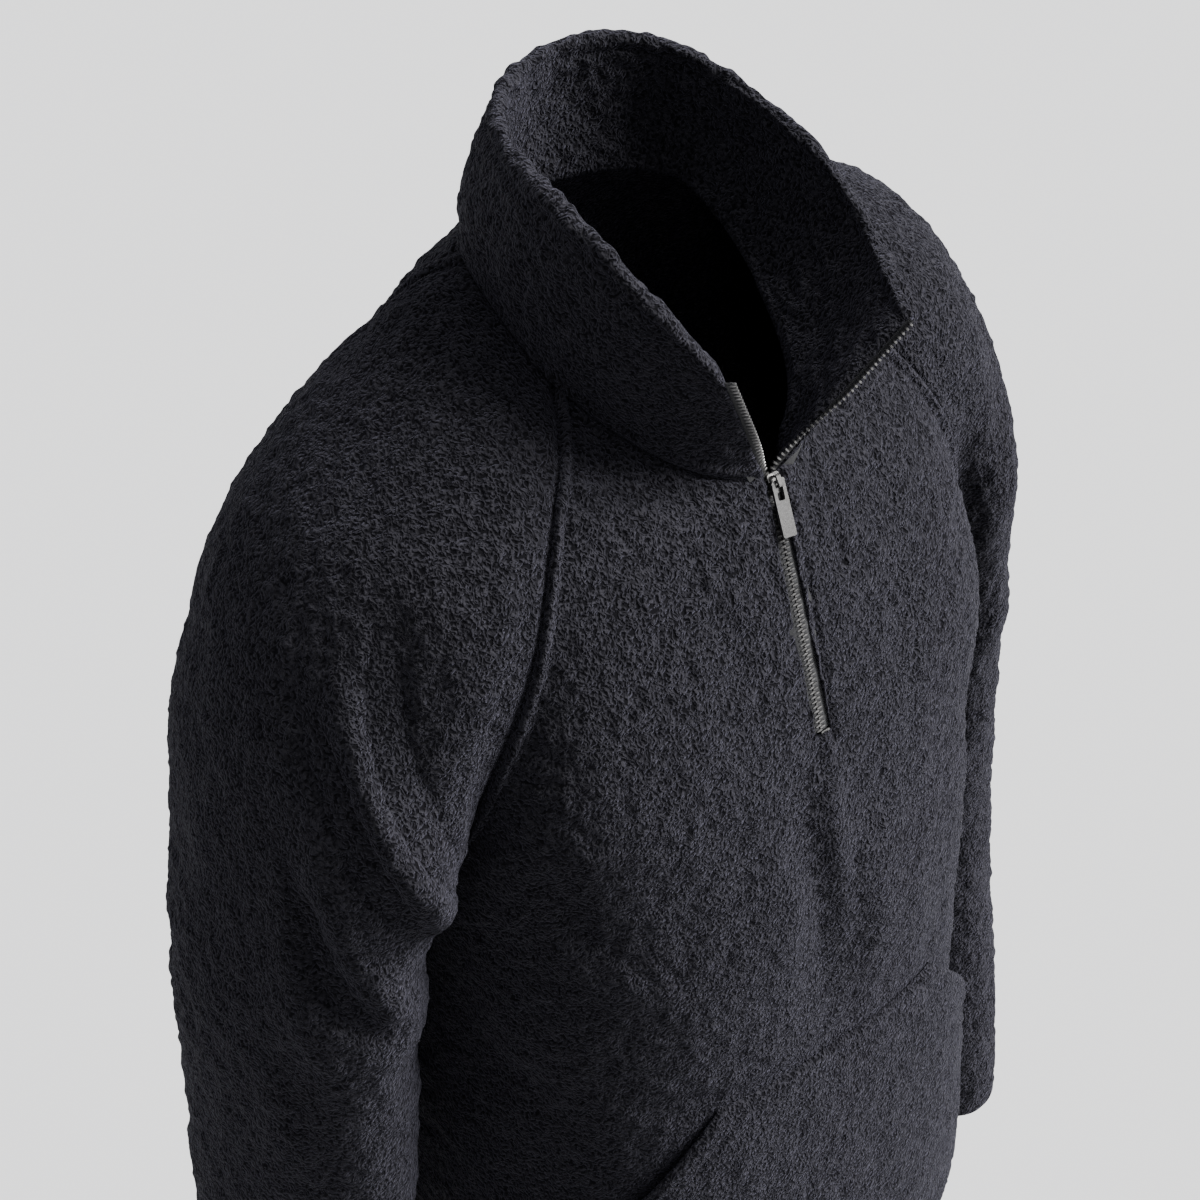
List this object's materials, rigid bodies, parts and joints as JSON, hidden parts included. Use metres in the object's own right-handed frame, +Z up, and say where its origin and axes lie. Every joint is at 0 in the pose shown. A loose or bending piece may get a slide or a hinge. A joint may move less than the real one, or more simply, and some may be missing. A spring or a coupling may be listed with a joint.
{
  "type": "pullover sweater",
  "caption": "Hollow half-zip pile pullover as worn, with raglan sleeves, an open standing collar, a pouch pocket and a metal zip with a hinged pull tab.",
  "frame": {"origin": "middle of the neck opening, level with the lower edge of the collar's sides, where the wearer's shoulders carry the garment", "axes": "+Z up, front faces -Y, the wearer's left is +X"},
  "size_m": [0.6182, 0.3296, 0.8404],
  "materials": {
    "pile_front": "curly matt pile",
    "pile_back": "curly matt pile",
    "pile_sleeve_right": "curly matt pile",
    "pile_sleeve_left": "curly matt pile",
    "pile_collar": "curly matt pile",
    "pile_pocket": "curly matt pile",
    "zip_metal_right": "dull gunmetal",
    "zip_metal_left": "dull gunmetal",
    "zip_metal_stop": "dull gunmetal",
    "zip_metal_slider": "polished gunmetal",
    "zip_metal_tab": "polished gunmetal"
  },
  "bodies": {
    "garment": {"front": "pile_front", "back": "pile_back", "sleeve_right": "pile_sleeve_right", "sleeve_left": "pile_sleeve_left", "collar": "pile_collar", "pouch_pocket": "pile_pocket", "zip_right": "zip_metal_right", "zip_left": "zip_metal_left", "zip_stop": "zip_metal_stop", "slider": "zip_metal_slider"},
    "tab": {"pull_tab": "zip_metal_tab"}
  },
  "joints": [
    {"name": "pull_tab_hinge", "type": "hinge", "parent": "garment", "child": "tab", "pos_m": [0, -0.11372, -0.03617], "axis": [-1, 0, 0], "range_deg": [0, 140]}
  ]
}
